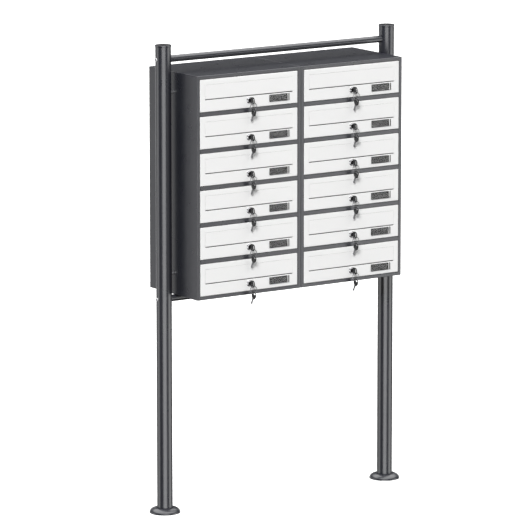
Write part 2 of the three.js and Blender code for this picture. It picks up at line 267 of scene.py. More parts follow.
def rounded_box(low, high, radius, steps=6):
    """A rectangle from low to high with round corners, as a loop of points."""
    (u0, v0), (u1, v1) = low, high
    corners = [(u1 - radius, v1 - radius, 0), (u0 + radius, v1 - radius, 90),
               (u0 + radius, v0 + radius, 180), (u1 - radius, v0 + radius, 270)]
    points = []
    for u, v, start in corners:
        points += arc((u, v), radius, start, start + 90, steps)
    return points


def swept(bm, path, radial, axial, sides=12):
    """A wire with an oval section along a path round y. radial and axial are the section's half widths."""
    normal = Vector((0.0, 1.0, 0.0))
    loops = []
    for i, point in enumerate(path):
        ahead = path[min(i + 1, len(path) - 1)] - path[max(i - 1, 0)]
        ahead.normalize()
        across = ahead.cross(normal).normalized()
        up = across.cross(ahead).normalized()
        turns = (2 * math.pi * k / sides for k in range(sides))
        section = [point + radial * math.cos(t) * across + axial * math.sin(t) * up for t in turns]
        loops.append(add_loop(bm, section))
    for first, second in zip(loops, loops[1:]):
        bridge(bm, first, second)
    cap_loop(bm, loops[0])
    cap_loop(bm, loops[-1])


CELL_MARGIN = 2.0


def folded_sheet(bm, outer, depth, hole, hole_fold, hole_bend, round_hole=None):
    """A face at y = 0 whose outer edges are folded back by depth, and whose hole's edges by hole_fold.

    outer and hole are ((x0, z0), (x1, z1)). round_hole is (x, z, radius) of a plain round hole.
    """
    xs = {outer[0][0], outer[1][0], hole[0][0], hole[1][0]}
    zs = {outer[0][1], outer[1][1], hole[0][1], hole[1][1]}
    cell = None
    if round_hole:
        x, z, radius = round_hole
        reach = radius + CELL_MARGIN
        cell = ((x - reach, z - reach), (x + reach, z + reach))
        xs |= {cell[0][0], cell[1][0]}
        zs |= {cell[0][1], cell[1][1]}
    xs, zs = sorted(xs), sorted(zs)
    grid = {(x, z): bm.verts.new((x, 0.0, z)) for x in xs for z in zs}
    for x0, x1 in zip(xs, xs[1:]):
        for z0, z1 in zip(zs, zs[1:]):
            corners = [grid[p] for p in ((x0, z0), (x1, z0), (x1, z1), (x0, z1))]
            if cell and (x0, z0) == cell[0] and (x1, z1) == cell[1]:
                round_cell(bm, corners, round_hole)
            elif not (hole[0][0] <= x0 and x1 <= hole[1][0] and hole[0][1] <= z0 and z1 <= hole[1][1]):
                bm.faces.new(corners)
    for loose in [v for v in bm.verts if not v.link_faces]:
        bm.verts.remove(loose)
    fold(bm, outer, depth)
    fold(bm, hole, hole_fold)
    bent = [e for e in bm.edges if len(e.link_faces) == 2 and e.calc_face_angle() > math.radians(SHARP)]
    at_hole, outside = [], []
    for e in bent:
        (at_hole if all(near_box(v, hole) for v in e.verts) else outside).append(e)
    bmesh.ops.bevel(bm, geom=at_hole, offset=hole_bend, segments=3, profile=0.5, affect="EDGES")
    outside = [e for e in outside if e.is_valid]
    bmesh.ops.bevel(bm, geom=outside, offset=FOLD_RADIUS, segments=4, profile=0.5, affect="EDGES")


def near_box(v, box):
    """Whether a vertex lies in or on a box of (x, z)."""
    (x0, z0), (x1, z1) = box
    return x0 - NEAR <= v.co.x <= x1 + NEAR and z0 - NEAR <= v.co.z <= z1 + NEAR


def round_cell(bm, corners, round_hole):
    """Fills a square cell round its hole with four faces.

    Each has one side of the square and a quarter of the rim.
    """
    x, z, radius = round_hole
    steps = 10
    circle = arc((x, z), radius, 225, 585, 4 * steps)[:-1]
    rim = [bm.verts.new((px, 0.0, pz)) for px, pz in circle]
    for k in range(4):
        quarter = [rim[(k * steps + i) % len(rim)] for i in range(steps + 1)]
        bm.faces.new([corners[k], corners[(k + 1) % 4], *reversed(quarter)])


def fold(bm, box, depth):
    """Folds the edges that lie along the outline of a box back by depth."""
    (x0, z0), (x1, z1) = box

    def on_outline(v):
        near = min(abs(v.co.x - x0), abs(v.co.x - x1), abs(v.co.z - z0), abs(v.co.z - z1)) < NEAR
        return near_box(v, box) and near and abs(v.co.y) < NEAR

    edges = [e for e in bm.edges if len(e.link_faces) == 1 and all(on_outline(v) for v in e.verts)]
    made = bmesh.ops.extrude_edge_only(bm, edges=edges)["geom"]
    moved = [g for g in made if isinstance(g, bmesh.types.BMVert)]
    bmesh.ops.translate(bm, vec=(0.0, depth, 0.0), verts=moved)


# ---- Finishes -----------------------------------------------------------------------------------
# Colours, gloss and the window's low index are fitted, and aren't measured values.

NOISE_LOW, NOISE_HIGH = 0.3, 0.7  # most of the noise lies between these


def shader(name, **values):
    """A new material's node tree, its Principled shader and its object coordinates."""
    material = bpy.data.materials.new(name)
    material.use_nodes = True
    tree = material.node_tree
    principled = tree.nodes["Principled BSDF"]
    for socket, value in values.items():
        principled.inputs[socket.replace("_", " ")].default_value = value
    place = tree.nodes.new("ShaderNodeTexCoord").outputs["Object"]
    return material, tree, principled, place


def noise(tree, place, size, detail=2.0):
    """Noise whose grains are about size millimetres across."""
    node = tree.nodes.new("ShaderNodeTexNoise")
    node.inputs["Scale"].default_value = 1.0 / (size * MM)
    node.inputs["Detail"].default_value = detail
    tree.links.new(place, node.inputs["Vector"])
    return node.outputs["Fac"]


def spread(tree, factor, low, high, target):
    """Feeds a socket with values that go from low to high with the factor."""
    node = tree.nodes.new("ShaderNodeMapRange")
    node.inputs["From Min"].default_value = NOISE_LOW
    node.inputs["From Max"].default_value = NOISE_HIGH
    node.inputs["To Min"].default_value = low
    node.inputs["To Max"].default_value = high
    tree.links.new(factor, node.inputs["Value"])
    tree.links.new(node.outputs["Result"], target)


def tint(tree, factor, first, second, target):
    """Feeds a colour socket with a mix of two near colours."""
    ramp = tree.nodes.new("ShaderNodeValToRGB")
    ramp.color_ramp.elements[0].position = NOISE_LOW
    ramp.color_ramp.elements[1].position = NOISE_HIGH
    ramp.color_ramp.elements[0].color = (*first, 1.0)
    ramp.color_ramp.elements[1].color = (*second, 1.0)
    tree.links.new(factor, ramp.inputs["Fac"])
    tree.links.new(ramp.outputs["Color"], target)


def emboss(tree, principled, height, depth):
    """Bump of that depth in millimetres."""
    bump = tree.nodes.new("ShaderNodeBump")
    bump.inputs["Strength"].default_value = 1.0
    bump.inputs["Distance"].default_value = depth * MM
    tree.links.new(height, bump.inputs["Height"])
    tree.links.new(bump.outputs["Normal"], principled.inputs["Normal"])


def powder_coat(name, dark, light, roughness, gloss):
    """Baked powder: fine orange peel, with broad and faint changes in colour and gloss."""
    material, tree, principled, place = shader(name, IOR=1.55, Specular_IOR_Level=gloss)
    broad = noise(tree, place, size=160.0)
    tint(tree, broad, dark, light, principled.inputs["Base Color"])
    spread(tree, noise(tree, place, size=45.0, detail=4.0), *roughness, principled.inputs["Roughness"])
    emboss(tree, principled, noise(tree, place, size=1.3), depth=0.003)
    return material


def moulded_plastic(name, dark, light, roughness, grain, gloss):
    """Moulded plastic with a fine spark-eroded grain."""
    material, tree, principled, place = shader(name, IOR=1.49, Specular_IOR_Level=gloss)
    tint(tree, noise(tree, place, size=8.0), dark, light, principled.inputs["Base Color"])
    spread(tree, noise(tree, place, size=2.0, detail=3.0), *roughness, principled.inputs["Roughness"])
    emboss(tree, principled, noise(tree, place, size=grain), depth=0.01)
    return material


def plated_metal(name, dark, light, roughness, polish):
    """Plated steel with faint polishing marks drawn out along one direction."""
    material, tree, principled, place = shader(name, Metallic=1.0)
    stretch = tree.nodes.new("ShaderNodeMapping")
    stretch.inputs["Scale"].default_value = (1.0, 1.0, polish)
    tree.links.new(place, stretch.inputs["Vector"])
    marks = noise(tree, stretch.outputs["Vector"], size=0.6, detail=4.0)
    tint(tree, noise(tree, place, size=5.0), dark, light, principled.inputs["Base Color"])
    spread(tree, marks, *roughness, principled.inputs["Roughness"])
    emboss(tree, principled, marks, depth=0.002)
    return material


def card(name):
    """Dark grey card with a faint fibre."""
    material, tree, principled, place = shader(name, Specular_IOR_Level=0.1)
    fibre = noise(tree, place, size=1.0, detail=5.0)
    tint(tree, fibre, (0.036, 0.036, 0.036), (0.042, 0.042, 0.042), principled.inputs["Base Color"])
    spread(tree, noise(tree, place, size=3.0), 0.6, 0.75, principled.inputs["Roughness"])
    emboss(tree, principled, noise(tree, place, size=0.5, detail=4.0), depth=0.01)
    return material


def clear_sheet(name):
    """Clear film, with an index below acrylic's so that its reflection doesn't hide the card."""
    material, tree, principled, place = shader(name, IOR=1.2, Transmission_Weight=1.0)
    spread(tree, noise(tree, place, size=30.0), 0.0, 0.02, principled.inputs["Roughness"])
    return material


SLOTS = ("anthracite_powder_coat", "white_powder_coat", "cap_black", "lock_black", "key_steel",
         "lock_chrome", "bolt_steel", "name_card", "clear_window")


def finishes():
    """A finish for each of the record's material slots."""
    made = [
        powder_coat("anthracite_powder_coat", (0.015, 0.016, 0.022), (0.019, 0.020, 0.026),
                    (0.27, 0.31), 1.0),
        powder_coat("white_powder_coat", (0.82, 0.82, 0.815), (0.84, 0.84, 0.835), (0.34, 0.42), 0.5),
        moulded_plastic("cap_black", (0.008, 0.008, 0.009), (0.012, 0.012, 0.013), (0.40, 0.50), 0.5, 0.2),
        moulded_plastic("lock_black", (0.007, 0.007, 0.008), (0.010, 0.010, 0.011), (0.22, 0.34), 0.4, 0.4),
        plated_metal("key_steel", (0.20, 0.20, 0.21), (0.27, 0.27, 0.28), (0.18, 0.34), 0.15),
        plated_metal("lock_chrome", (0.68, 0.68, 0.69), (0.74, 0.74, 0.75), (0.06, 0.14), 0.5),
        plated_metal("bolt_steel", (0.60, 0.60, 0.62), (0.68, 0.68, 0.69), (0.20, 0.32), 0.3),
        card("name_card"),
        clear_sheet("clear_window"),
    ]
    return dict(zip(SLOTS, made))


# ---- Putting pieces on the frame ----------------------------------------------------------------


def put(name, mesh, slot, body, place=(0.0, 0.0, 0.0), replaces=()):
    """A piece that takes its finish from slot, rides on body, and stands for the CAD nodes in replaces."""
    obj = bpy.data.objects.new(name, mesh)
    bpy.context.scene.collection.objects.link(obj)
    obj.location = Vector(place)
    if not mesh.materials:
        mesh.materials.append(FINISH[slot])
    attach(obj, body)
    if replaces:
        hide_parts(*replaces)
    return obj


# ---- Stand --------------------------------------------------------------------------------------


def post_mesh(low, high):
    bm = bmesh.new()
    inner = POST_RADIUS - POST_WALL
    turn(bm, [(POST_RADIUS, low), (POST_RADIUS, high), (inner, high), (inner, low)], sides=96, closed=True)
    return finished(mesh_of("post", bm), bevel=0.4)


def cap_mesh(top):
    """A lip with a rounded rim over a spigot, and a slightly crowned top under the cap's dark face."""
    bm = bmesh.new()
    base = top - CAP_CROWN - CAP_LIP
    plug = POST_RADIUS - POST_WALL - FIT
    rim = arc((CAP_RADIUS - CAP_RIM, base + CAP_LIP - CAP_RIM), CAP_RIM, 0, 90, 6)
    crown = [(CAP_RADIUS * s, top - CAP_FACE - CAP_CROWN * s * s) for s in (0.8, 0.6, 0.4, 0.2, 0.0)]
    tip = base - CAP_SPIGOT
    profile = [(0.0, tip), (plug - CAP_SHOULDER, tip), (plug, tip + CAP_SHOULDER), (plug, base),
               (CAP_RADIUS - CAP_EDGE, base), (CAP_RADIUS, base + CAP_EDGE), *rim, *crown]
    turn(bm, profile, sides=96)
    return finished(mesh_of("cap", bm))


def cap_face_mesh(top):
    """The dark face inside the cap's rim."""
    bm = bmesh.new()
    crown = [(CAP_RADIUS * s, top - CAP_CROWN * s * s) for s in (0.9, 0.7, 0.5, 0.3, 0.0)]
    edge = crown[0]
    turn(bm, [(0.0, top - 2 * CAP_FACE), (edge[0], edge[1] - 2 * CAP_FACE), *crown], sides=96)
    return finished(mesh_of("cap_face", bm))


def foot_mesh():
    """A base plate under a domed cover that rises to a collar round the post."""
    bm = bmesh.new()
    socket = POST_RADIUS + FIT
    span, rise = FOOT_RADIUS - FOOT_COLLAR, FOOT_HEIGHT - FOOT_EDGE
    dome = [(FOOT_COLLAR + span * u, FOOT_EDGE + rise * v) for u, v in arc((0.0, 0.0), 1.0, 0, 90, 14)]
    profile = [(0.0, 0.0), (FOOT_RADIUS - FOOT_ROUND, 0.0), (FOOT_RADIUS, FOOT_ROUND), *dome,
               (socket + FOOT_MOUTH, FOOT_HEIGHT), (socket, FOOT_HEIGHT - FOOT_MOUTH),
               (socket, FOOT_PLATE), (0.0, FOOT_PLATE)]
    turn(bm, profile, sides=96)
    return finished(mesh_of("foot", bm))


def bar_mesh(post_x):
    """A tube whose ends follow the posts that it meets."""
    bm = bmesh.new()
    sides = 48
    gap = FIT / 3
    loops = []
    for side in (-1, 1):
        points = []
        for i in range(sides):
            angle = 2 * math.pi * i / sides
            y, z = BAR_RADIUS * math.cos(angle), BAR_RADIUS * math.sin(angle)
            reach = post_x - math.sqrt((POST_RADIUS + gap) ** 2 - y * y)
            points.append((side * reach, y, z))
        loops.append(add_loop(bm, points))
    bridge(bm, *loops)
    for loop in loops:
        cap_loop(bm, loop)
    return finished(mesh_of("bar", bm))


WASHER = {"radius": 6.9, "edge": 0.3, "thickness": 1.1}
BOLT_HEAD = {"radius": 5.6, "base": 1.2, "rise": 3.4}
BOLT_SOCKET = {"radius": 2.0, "mouth": 2.3, "top": 4.4, "edge": 4.2, "floor": 2.2, "middle": 2.0}


def bolt_mesh():
    """A round-headed bolt on a washer, along x, with its underside at x = 0 and a socket in its head."""
    bm = bmesh.new()
    radius, edge, thickness = WASHER["radius"], WASHER["edge"], WASHER["thickness"]
    washer = [(radius - edge, 0.0), (radius, edge), (radius, thickness - edge), (radius - edge, thickness)]
    head = BOLT_HEAD
    dome = [(head["radius"] * u, head["base"] + head["rise"] * v) for u, v in arc((0.0, 0.0), 1.0, 0, 60, 6)]
    hollow = BOLT_SOCKET
    socket = [(hollow["mouth"], hollow["top"]), (hollow["radius"], hollow["edge"]),
              (hollow["radius"], hollow["floor"]), (0.0, hollow["middle"])]
    profile = [(0.0, 0.0), *washer, *dome, *socket]
    turn(bm, profile, axis="x", sides=40)
    return finished(mesh_of("bolt", bm))


def sleeve_mesh(length):
    """A spacer sleeve along x."""
    bm = bmesh.new()
    turn(bm, [(SPACER_RADIUS, 0.0), (SPACER_RADIUS, length)], axis="x", sides=40)
    return finished(mesh_of("sleeve", bm), bevel=0.5)


def stand():
    low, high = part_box("post_left")
    cap_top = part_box("cap_left")[1].z / MM
    post = post_mesh(low.z / MM, high.z / MM)
    cap, cap_face, foot = cap_mesh(cap_top), cap_face_mesh(cap_top), foot_mesh()
    bolt, bar = bolt_mesh(), None
    sleeve = sleeve_mesh(post_gap())
    for column, side in zip(COLUMNS, (-1, 1)):
        x, y, _ = centre_of(f"post_{column}")
        put(f"post_tube_{column}", post, "anthracite_powder_coat", "root", (x, y, 0), [f"post_{column}"])
        put(f"post_cap_{column}", cap, "anthracite_powder_coat", "root", (x, y, 0), [f"cap_{column}"])
        put(f"cap_face_{column}", cap_face, "cap_black", "root", (x, y, 0))
        put(f"post_foot_{column}", foot, "anthracite_powder_coat", "root", (x, y, 0), [f"foot_{column}"])
        for level in ("top", "bottom"):
            z = centre_of(f"crossbar_{level}").z
            start = (x + side * POST_RADIUS * MM, y, z)
            face(put(f"bolt_{level}_{column}", bolt, "bolt_steel", "root", start), side)
        for k, height in enumerate(SPACER_HEIGHTS):
            z = (CABINET_BASE + height) * MM
            start = (x - side * (POST_RADIUS + post_gap()) * MM, y, z)
            face(put(f"spacer_{column}_{k + 1}", sleeve, "bolt_steel", "root", start), side)
        bar = bar or bar_mesh(abs(x) / MM)
    for level in ("top", "bottom"):
        place = centre_of(f"crossbar_{level}")
        put(f"crossbar_tube_{level}", bar, "anthracite_powder_coat", "root", place, [f"crossbar_{level}"])


def post_gap():
    """Between a cabinet's side and the post beside it."""
    side = max(abs(x) for x in (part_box("shelf_rack_left")[0].x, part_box("shelf_rack_right")[1].x))
    side = side / MM + SHEET + FIT
    return abs(centre_of("post_left").x) / MM - POST_RADIUS - side


def face(obj, side):
    """Turns a piece that is drawn along +x to point along -x, where the side is the left one."""
    if side < 0:
        obj.matrix_world = obj.matrix_world @ Matrix.Rotation(math.pi, 4, "Z")


def centre_of(node):
    low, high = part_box(node)
    return (low + high) / 2


# ---- Cabinets -----------------------------------------------------------------------------------


def casing_mesh(width, height, depth, side):
    """Sides, top and bottom in one folded sheet, with a frame round the doors whose inner edges fold back."""
    bm = bmesh.new()
    near, far = INNER_FRAME, width - OUTER_FRAME
    hole_x = (near, far) if side > 0 else (-far, -near)
    outer_x = (0.0, width) if side > 0 else (-width, 0.0)
    folded_sheet(bm, ((outer_x[0], 0.0), (outer_x[1], height)), depth,
                 ((hole_x[0], END_RAIL), (hole_x[1], height - END_RAIL)), FRAME_DEPTH, FOLD_RADIUS)
    return finished(mesh_of("casing", bm), thickness=SHEET)


def cabinets():
    for column, side in zip(COLUMNS, (-1, 1)):
        low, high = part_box(f"casing_{column}")
        inner = (low.x if side > 0 else high.x) / MM
        outer = side * (abs(centre_of(f"post_{column}").x) / MM - POST_RADIUS - post_gap())
        depth, height = (high.y - low.y) / MM, (high.z - low.z) / MM
        casing = casing_mesh(abs(outer - inner), height, depth, side)
        place = (inner * MM, low.y, low.z)
        put(f"casing_sheet_{column}", casing, "anthracite_powder_coat", "root", place, [f"casing_{column}"])
        finish_node(f"shelf_rack_{column}", "anthracite_powder_coat", 0.8)
    put("joint_seal", seal_mesh(), "cap_black", "root")


def seal_mesh():
    """The thin strip that closes the joint between the two cabinets."""
    low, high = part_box("casing_right")
    inset = FOLD_RADIUS + 0.5
    half = low.x / MM - 0.01
    y = (low.y / MM + inset, high.y / MM - inset)
    z = (low.z / MM + inset, high.z / MM - inset)
    bm = bmesh.new()
    block(bm, (-half, half), y, z)
    return finished(mesh_of("seal", bm))


WELD = 0.01
FLAT = 1.0  # degrees between the triangles of one flat face


def finish_node(node, slot, bevel):
    """A CAD node that stays in view: its finish, and rounded edges."""
    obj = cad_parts[node]
    if not obj.material_slots:
        obj.data.materials.append(None)
    for place in obj.material_slots:
        place.material = FINISH[slot]
    weld = obj.modifiers.new("weld", "WELD")
    weld.merge_threshold = WELD * MM
    flat = obj.modifiers.new("flats", "DECIMATE")
    flat.decimate_type = "DISSOLVE"
    flat.angle_limit = math.radians(FLAT)
    add_bevel(obj, bevel, 2, SHARP)


# ---- Doors --------------------------------------------------------------------------------------


def door_mesh():
    """The pan, folded on all four sides, with the letter slot and the hole for the lock."""
    bm = bmesh.new()
    face_box = ((-DOOR_HALF, DOOR_LOWEST), (DOOR_HALF, DOOR_TOP))
    slot = ((-SLOT_HALF, SLOT_BOTTOM), (SLOT_HALF, SLOT_TOP))
    folded_sheet(bm, face_box, PAN_DEPTH, slot, SLOT_FOLD, SLOT_BEND, (0.0, LOCK_Z, LOCK_HOLE))
    return finished(mesh_of("door", bm), thickness=SHEET)


def door_pins_mesh():
    """The two pins that the door hangs on."""
    bm = bmesh.new()
    for side in (-1, 1):
        ends = (side * (DOOR_HALF - SHEET), side * PIN_END)
        profile = [(PIN_RADIUS, ends[0]), (PIN_RADIUS, ends[1])]
        turn(bm, profile, axis="x", sides=24, centre=(0.0, PIN_INSET, DOOR_TOP - PIN_INSET))
    return finished(mesh_of("door_pins", bm), bevel=0.3)


def flap_mesh():
    """A leaf with a hem folded inwards along its lower edge and a roll round its pin along its upper edge."""
    bm = bmesh.new()
    y, z = FLAP_AXIS
    centre = (FLAP_BEND, FLAP_BOTTOM + FLAP_BEND)
    bend = arc(centre, FLAP_BEND, 180, 270, 6)
    inner = arc(centre, FLAP_BEND - SHEET, 270, 180, 2)
    roll = arc((y, z), FLAP_ROLL, 225, 450, 16)
    outline = [*bend, (FLAP_HEM, FLAP_BOTTOM), (FLAP_HEM, FLAP_BOTTOM + SHEET), *inner,
               (SHEET, z - FLAP_ROLL), *roll, (SHEET, FLAP_TOP), (0.2, FLAP_TOP), (0.0, FLAP_TOP - 0.2)]
    prism(bm, outline, -FLAP_HALF, FLAP_HALF)
    return finished(mesh_of("flap", bm), bevel=0.15)


def flap_pin_mesh():
    bm = bmesh.new()
    profile = [(FLAP_PIN, -FLAP_PIN_END), (FLAP_PIN, FLAP_PIN_END)]
    turn(bm, profile, axis="x", sides=20, centre=(0.0, *FLAP_AXIS))
    return finished(mesh_of("flap_pin", bm), bevel=0.2)


def slot_shade_strip_mesh():
    """A soft black strip on the slot's lower fold, under the flap: painted shade for the gap's shadow line.
    """
    bm = bmesh.new()
    strip = SLOT_SHADE_STRIP
    half = SLOT_HALF - strip["end"]
    depth = (strip["front"], SLOT_FOLD - strip["back"])
    block(bm, (-half, half), depth, (SLOT_BOTTOM, SLOT_BOTTOM + strip["thickness"]))
    return finished(mesh_of("slot_shade_strip", bm), bevel=0.2)


def pips_mesh():
    """Two small domes on the door's face beside the letter slot."""
    bm = bmesh.new()
    radius, proud, root = PIP["radius"], PIP["proud"], PIP["root"]
    dome = [(radius * u, -proud * v) for u, v in arc((0.0, 0.0), 1.0, 0, 75, 5)]
    profile = [(0.0, root), (radius, root), *dome, (0.0, -proud)]
    for side in (-1, 1):
        centre = (side * (SLOT_HALF + PIP["beside"]), 0.0, SLOT_BOTTOM + PIP["above"])
        turn(bm, profile, axis="y", sides=20, centre=centre)
    return finished(mesh_of("pips", bm))


# ---- Name plates --------------------------------------------------------------------------------

PLATE = {"x0": 76.0, "x1": 151.0, "z0": 13.2, "z1": 35.2, "proud": 2.2, "rim": 0.9, "clip": 3.8, "gap": 2.5}
PLATE_CORNER, PLATE_HOLE_CORNER = 1.5, 0.6
CARD_DEPTHS = (-1.6, 0.0)
WINDOW_DEPTHS = (-2.0, -1.7)
TAB = {"end": 0.05, "side": 0.1, "front": 0.1, "edge": 0.2}
PART_FIT = 0.15


def plate_ring_mesh():
    """The frame round the card, and the clip that closes its right end, with a narrow gap between them."""
    bm = bmesh.new()
    x1 = PLATE["x1"] - PLATE["clip"] - PLATE["gap"]
    rim, proud = PLATE["rim"], PLATE["proud"]
    outer = rounded_box((PLATE["x0"], PLATE["z0"]), (x1, PLATE["z1"]), PLATE_CORNER, 4)
    low, high = (PLATE["x0"] + rim, PLATE["z0"] + rim), (x1 - rim, PLATE["z1"] - rim)
    plate_with_hole(bm, outer, rounded_box(low, high, PLATE_HOLE_CORNER, 4), 0.0, proud)
    for v in bm.verts:
        v.co = (v.co.y, -v.co.x, v.co.z)
    block(bm, (x1 + PLATE["gap"], PLATE["x1"]), (-proud, 0.0), (PLATE["z0"], PLATE["z1"]))
    return finished(mesh_of("name_frame", bm), bevel=0.3, segments=3)


def plate_tab_mesh():
    """The pale edge of the card's carrier, which shows beside the clip."""
    bm = bmesh.new()
    x1 = PLATE["x1"] - PLATE["clip"] - TAB["end"]
    x0 = x1 - PLATE["gap"] + TAB["side"]
    z = (PLATE["z0"] + TAB["edge"], PLATE["z1"] - TAB["edge"])
    block(bm, (x0, x1), (TAB["front"] - PLATE["proud"], 0.0), z)
    return finished(mesh_of("name_tab", bm), bevel=0.2)


def plate_part_mesh(name, depths):
    """A flat part that fills the frame's opening between two depths."""
    bm = bmesh.new()
    inset = PLATE["rim"] + PART_FIT
    x1 = PLATE["x1"] - PLATE["clip"] - PLATE["gap"] - inset
    block(bm, (PLATE["x0"] + inset, x1), depths, (PLATE["z0"] + inset, PLATE["z1"] - inset))
    return finished(mesh_of(name, bm), bevel=0.1)


# ---- Locks and keys -----------------------------------------------------------------------------

# The collar's section, as points of (radius, y)
COLLAR = ((8.5, -0.1), (8.5, -1.6), (8.9, -1.9), (9.6, -1.8), (10.4, -1.2), (10.8, -0.5), (10.8, -0.1))
HOUSING = {"outer": 8.3, "inner": 6.7, "nose": 1.2, "mouth": 0.6, "neck": 6.4, "end": 0.6}
THREAD = {"start": 7.0, "stop": 1.2, "pitch": 1.0, "depth": 0.5}
NUT = {"corner": 11.0, "hole": 8.4, "front": 1.9, "back": 5.4}
PLUG_RADIUS = 6.5
PLUG_DISH = ((0.0, 0.9), (3.2, 0.7), (4.6, 0.25), (PLUG_RADIUS - 0.5, 0.1), (PLUG_RADIUS, 0.5))


def collar_mesh():
    """A bright rosette on the door's face round the lock."""
    bm = bmesh.new()
    turn(bm, COLLAR, axis="y", sides=56, centre=(0.0, 0.0, LOCK_Z), closed=True)
    return finished(mesh_of("collar", bm))


def housing_mesh():
    """The lock's barrel: a rounded nose in front of the door and a threaded body behind it."""
    bm = bmesh.new()
    outer, inner, radius = HOUSING["outer"], HOUSING["inner"], HOUSING["nose"]
    nose = [(outer - radius + r, -LOCK_PROUD + radius - z) for r, z in arc((0.0, 0.0), radius, 0, 90, 5)]
    thread = []
    y = THREAD["start"]
    while y < LOCK_DEPTH - THREAD["stop"]:
        thread += [(outer, y), (outer - THREAD["depth"], y + THREAD["pitch"] / 2)]
        y += THREAD["pitch"]
    end = LOCK_DEPTH - HOUSING["end"]
    body = [(inner, end), (outer - HOUSING["end"], end), *reversed(thread), (outer, HOUSING["neck"])]
    profile = [*body, *nose, (inner, -LOCK_PROUD), (inner, -LOCK_PROUD + HOUSING["mouth"])]
    turn(bm, profile, axis="y", sides=48, centre=(0.0, 0.0, LOCK_Z), closed=True)
    return finished(mesh_of("housing", bm), limit=30.0)


def nut_mesh():
    """The hexagonal nut that holds the barrel to the back of the door."""
    bm = bmesh.new()
    corners = [Vector(p) for p in arc((0.0, LOCK_Z), NUT["corner"], 30, 390, 6)]
    outer = []
    for a, b in zip(corners, corners[1:]):
        outer += [tuple(a.lerp(b, k / 4)) for k in range(4)]
    hole = arc((0.0, LOCK_Z), NUT["hole"], 30, 390, 24)[:-1]
    plate_with_hole(bm, outer, hole, NUT["front"], NUT["back"])
    for v in bm.verts:
        v.co = (v.co.y, v.co.x, v.co.z)
    return finished(mesh_of("nut", bm), bevel=0.5)


def plug_mesh():
    """The part that turns with the key, sunk a little into the barrel, with a dished face."""
    bm = bmesh.new()
    dish = [(r, sunk - LOCK_PROUD) for r, sunk in PLUG_DISH]
    profile = [*dish, (PLUG_RADIUS, LOCK_DEPTH), (0.0, LOCK_DEPTH)]
    turn(bm, profile, axis="y", sides=40, centre=(0.0, 0.0, LOCK_Z))
    return finished(mesh_of("plug", bm))


def cam_mesh():
    """The flat tongue that turns down behind the rail, round at the lock and at its tip's corners."""
    bm = bmesh.new()
    half, corner = CAM["width"] / 2, CAM["corner"]
    tip = CAM["length"] - corner
    outline = arc((0.0, LOCK_Z), half, 90, 270, 14)
    outline += arc((tip, LOCK_Z - half + corner), corner, 270, 360, 4)
    outline += arc((tip, LOCK_Z + half - corner), corner, 0, 90, 4)
    prism(bm, outline, LOCK_DEPTH, LOCK_DEPTH + CAM["thickness"])
    for v in bm.verts:
        v.co = (v.co.y, v.co.x, v.co.z)
    return finished(mesh_of("cam", bm), bevel=0.3)


def bow_loops(steps=8):
    """The bow's outline and its slot, in the key's own plane: y along the key, z across it."""
    inset, half, width = BOW_SLOT["inset"], BOW_SLOT["half"], BOW["width"] / 2
    outer = rounded_box((-inset, -width), (BOW["length"] - inset, width), BOW["corner"], steps)
    radius = BOW_SLOT["radius"]
    hole = rounded_box((-radius, -half), (radius, half), radius - 0.01, steps)
    return outer, hole


def bow_mesh(name, place):
    """A moulded bow with soft edges, moved to its place."""
    bm = bmesh.new()
    half = BOW["thickness"] / 2
    plate_with_hole(bm, *bow_loops(), -half, half)
    mesh = finished(mesh_of(name, bm), bevel=0.8, segments=3)
    mesh.transform(place)
    return mesh


def blade_mesh(name, length, teeth, place):
    """The blade from inside the bow to its tip, with notches of the given depths along both edges."""
    bm = bmesh.new()
    bow_end, half = BOW["length"] - BOW_SLOT["inset"], BLADE["width"] / 2
    start, end = bow_end - BLADE["inside"], bow_end + length
    edge = [(start, half)]
    for k, depth in enumerate(teeth):
        y = start + BLADE["first"] + BLADE["pitch"] * k
        edge += [(y + along, half - depth * cut) for along, cut in NOTCH]
    edge += [(end + along, half - cut) for along, cut in (TIP if teeth else ((0.0, 0.0),))]
    outline = edge + [(y, -z) for y, z in reversed(edge)]
    prism(bm, outline, -BLADE["thickness"] / 2, BLADE["thickness"] / 2)
    mesh = finished(mesh_of(name, bm), bevel=0.15)
    mesh.transform(place)
    return mesh


def ring_mesh():
    """A split ring: nearly two turns of wire side by side, with a short step from one to the other."""
    bm = bmesh.new()
    wire, steps = RING_WIRE["axial"], 132
    centre = (0.0, RING_Y, RING_TOP - RING_RADIUS)
    step, stretch = RING_STEP
    path = []
    for i in range(steps + 1):
        turns = RING_END + (2 - 2 * RING_END) * i / steps
        share = min(max((turns - step) / stretch, 0.0), 1.0)
        side = 2 * wire * (share * share * (3 - 2 * share) - 0.5)
        path.append(around("y", RING_RADIUS, 2 * math.pi * turns + RING_START, side, centre))
    swept(bm, path, RING_WIRE["radial"], wire - RING_WIRE["gap"])
    return finished(mesh_of("ring", bm), limit=60.0)


def lock_key_place():
    return Matrix.Translation(Vector((0.0, RING_Y, LOCK_Z)) * MM)


def spare_place():
    """Where the spare key hangs from the ring, beside the ring's middle and leaning to the door."""
    lean = math.radians(SPARE_LEAN)
    drop = RING_RADIUS + math.sqrt(RING_RADIUS ** 2 - SPARE_SHIFT ** 2)
    rest = BOW_SLOT["radius"] - SPARE_REST
    middle = Vector((SPARE_SHIFT, RING_Y, RING_TOP - drop))
    middle += rest * Vector((0.0, math.sin(lean), -math.cos(lean)))
    return Matrix.Translation(middle * MM) @ Matrix.Rotation(lean - math.pi / 2, 4, "X")


NOTCHES = (1.1, 0.5, 1.3, 0.8, 1.0)


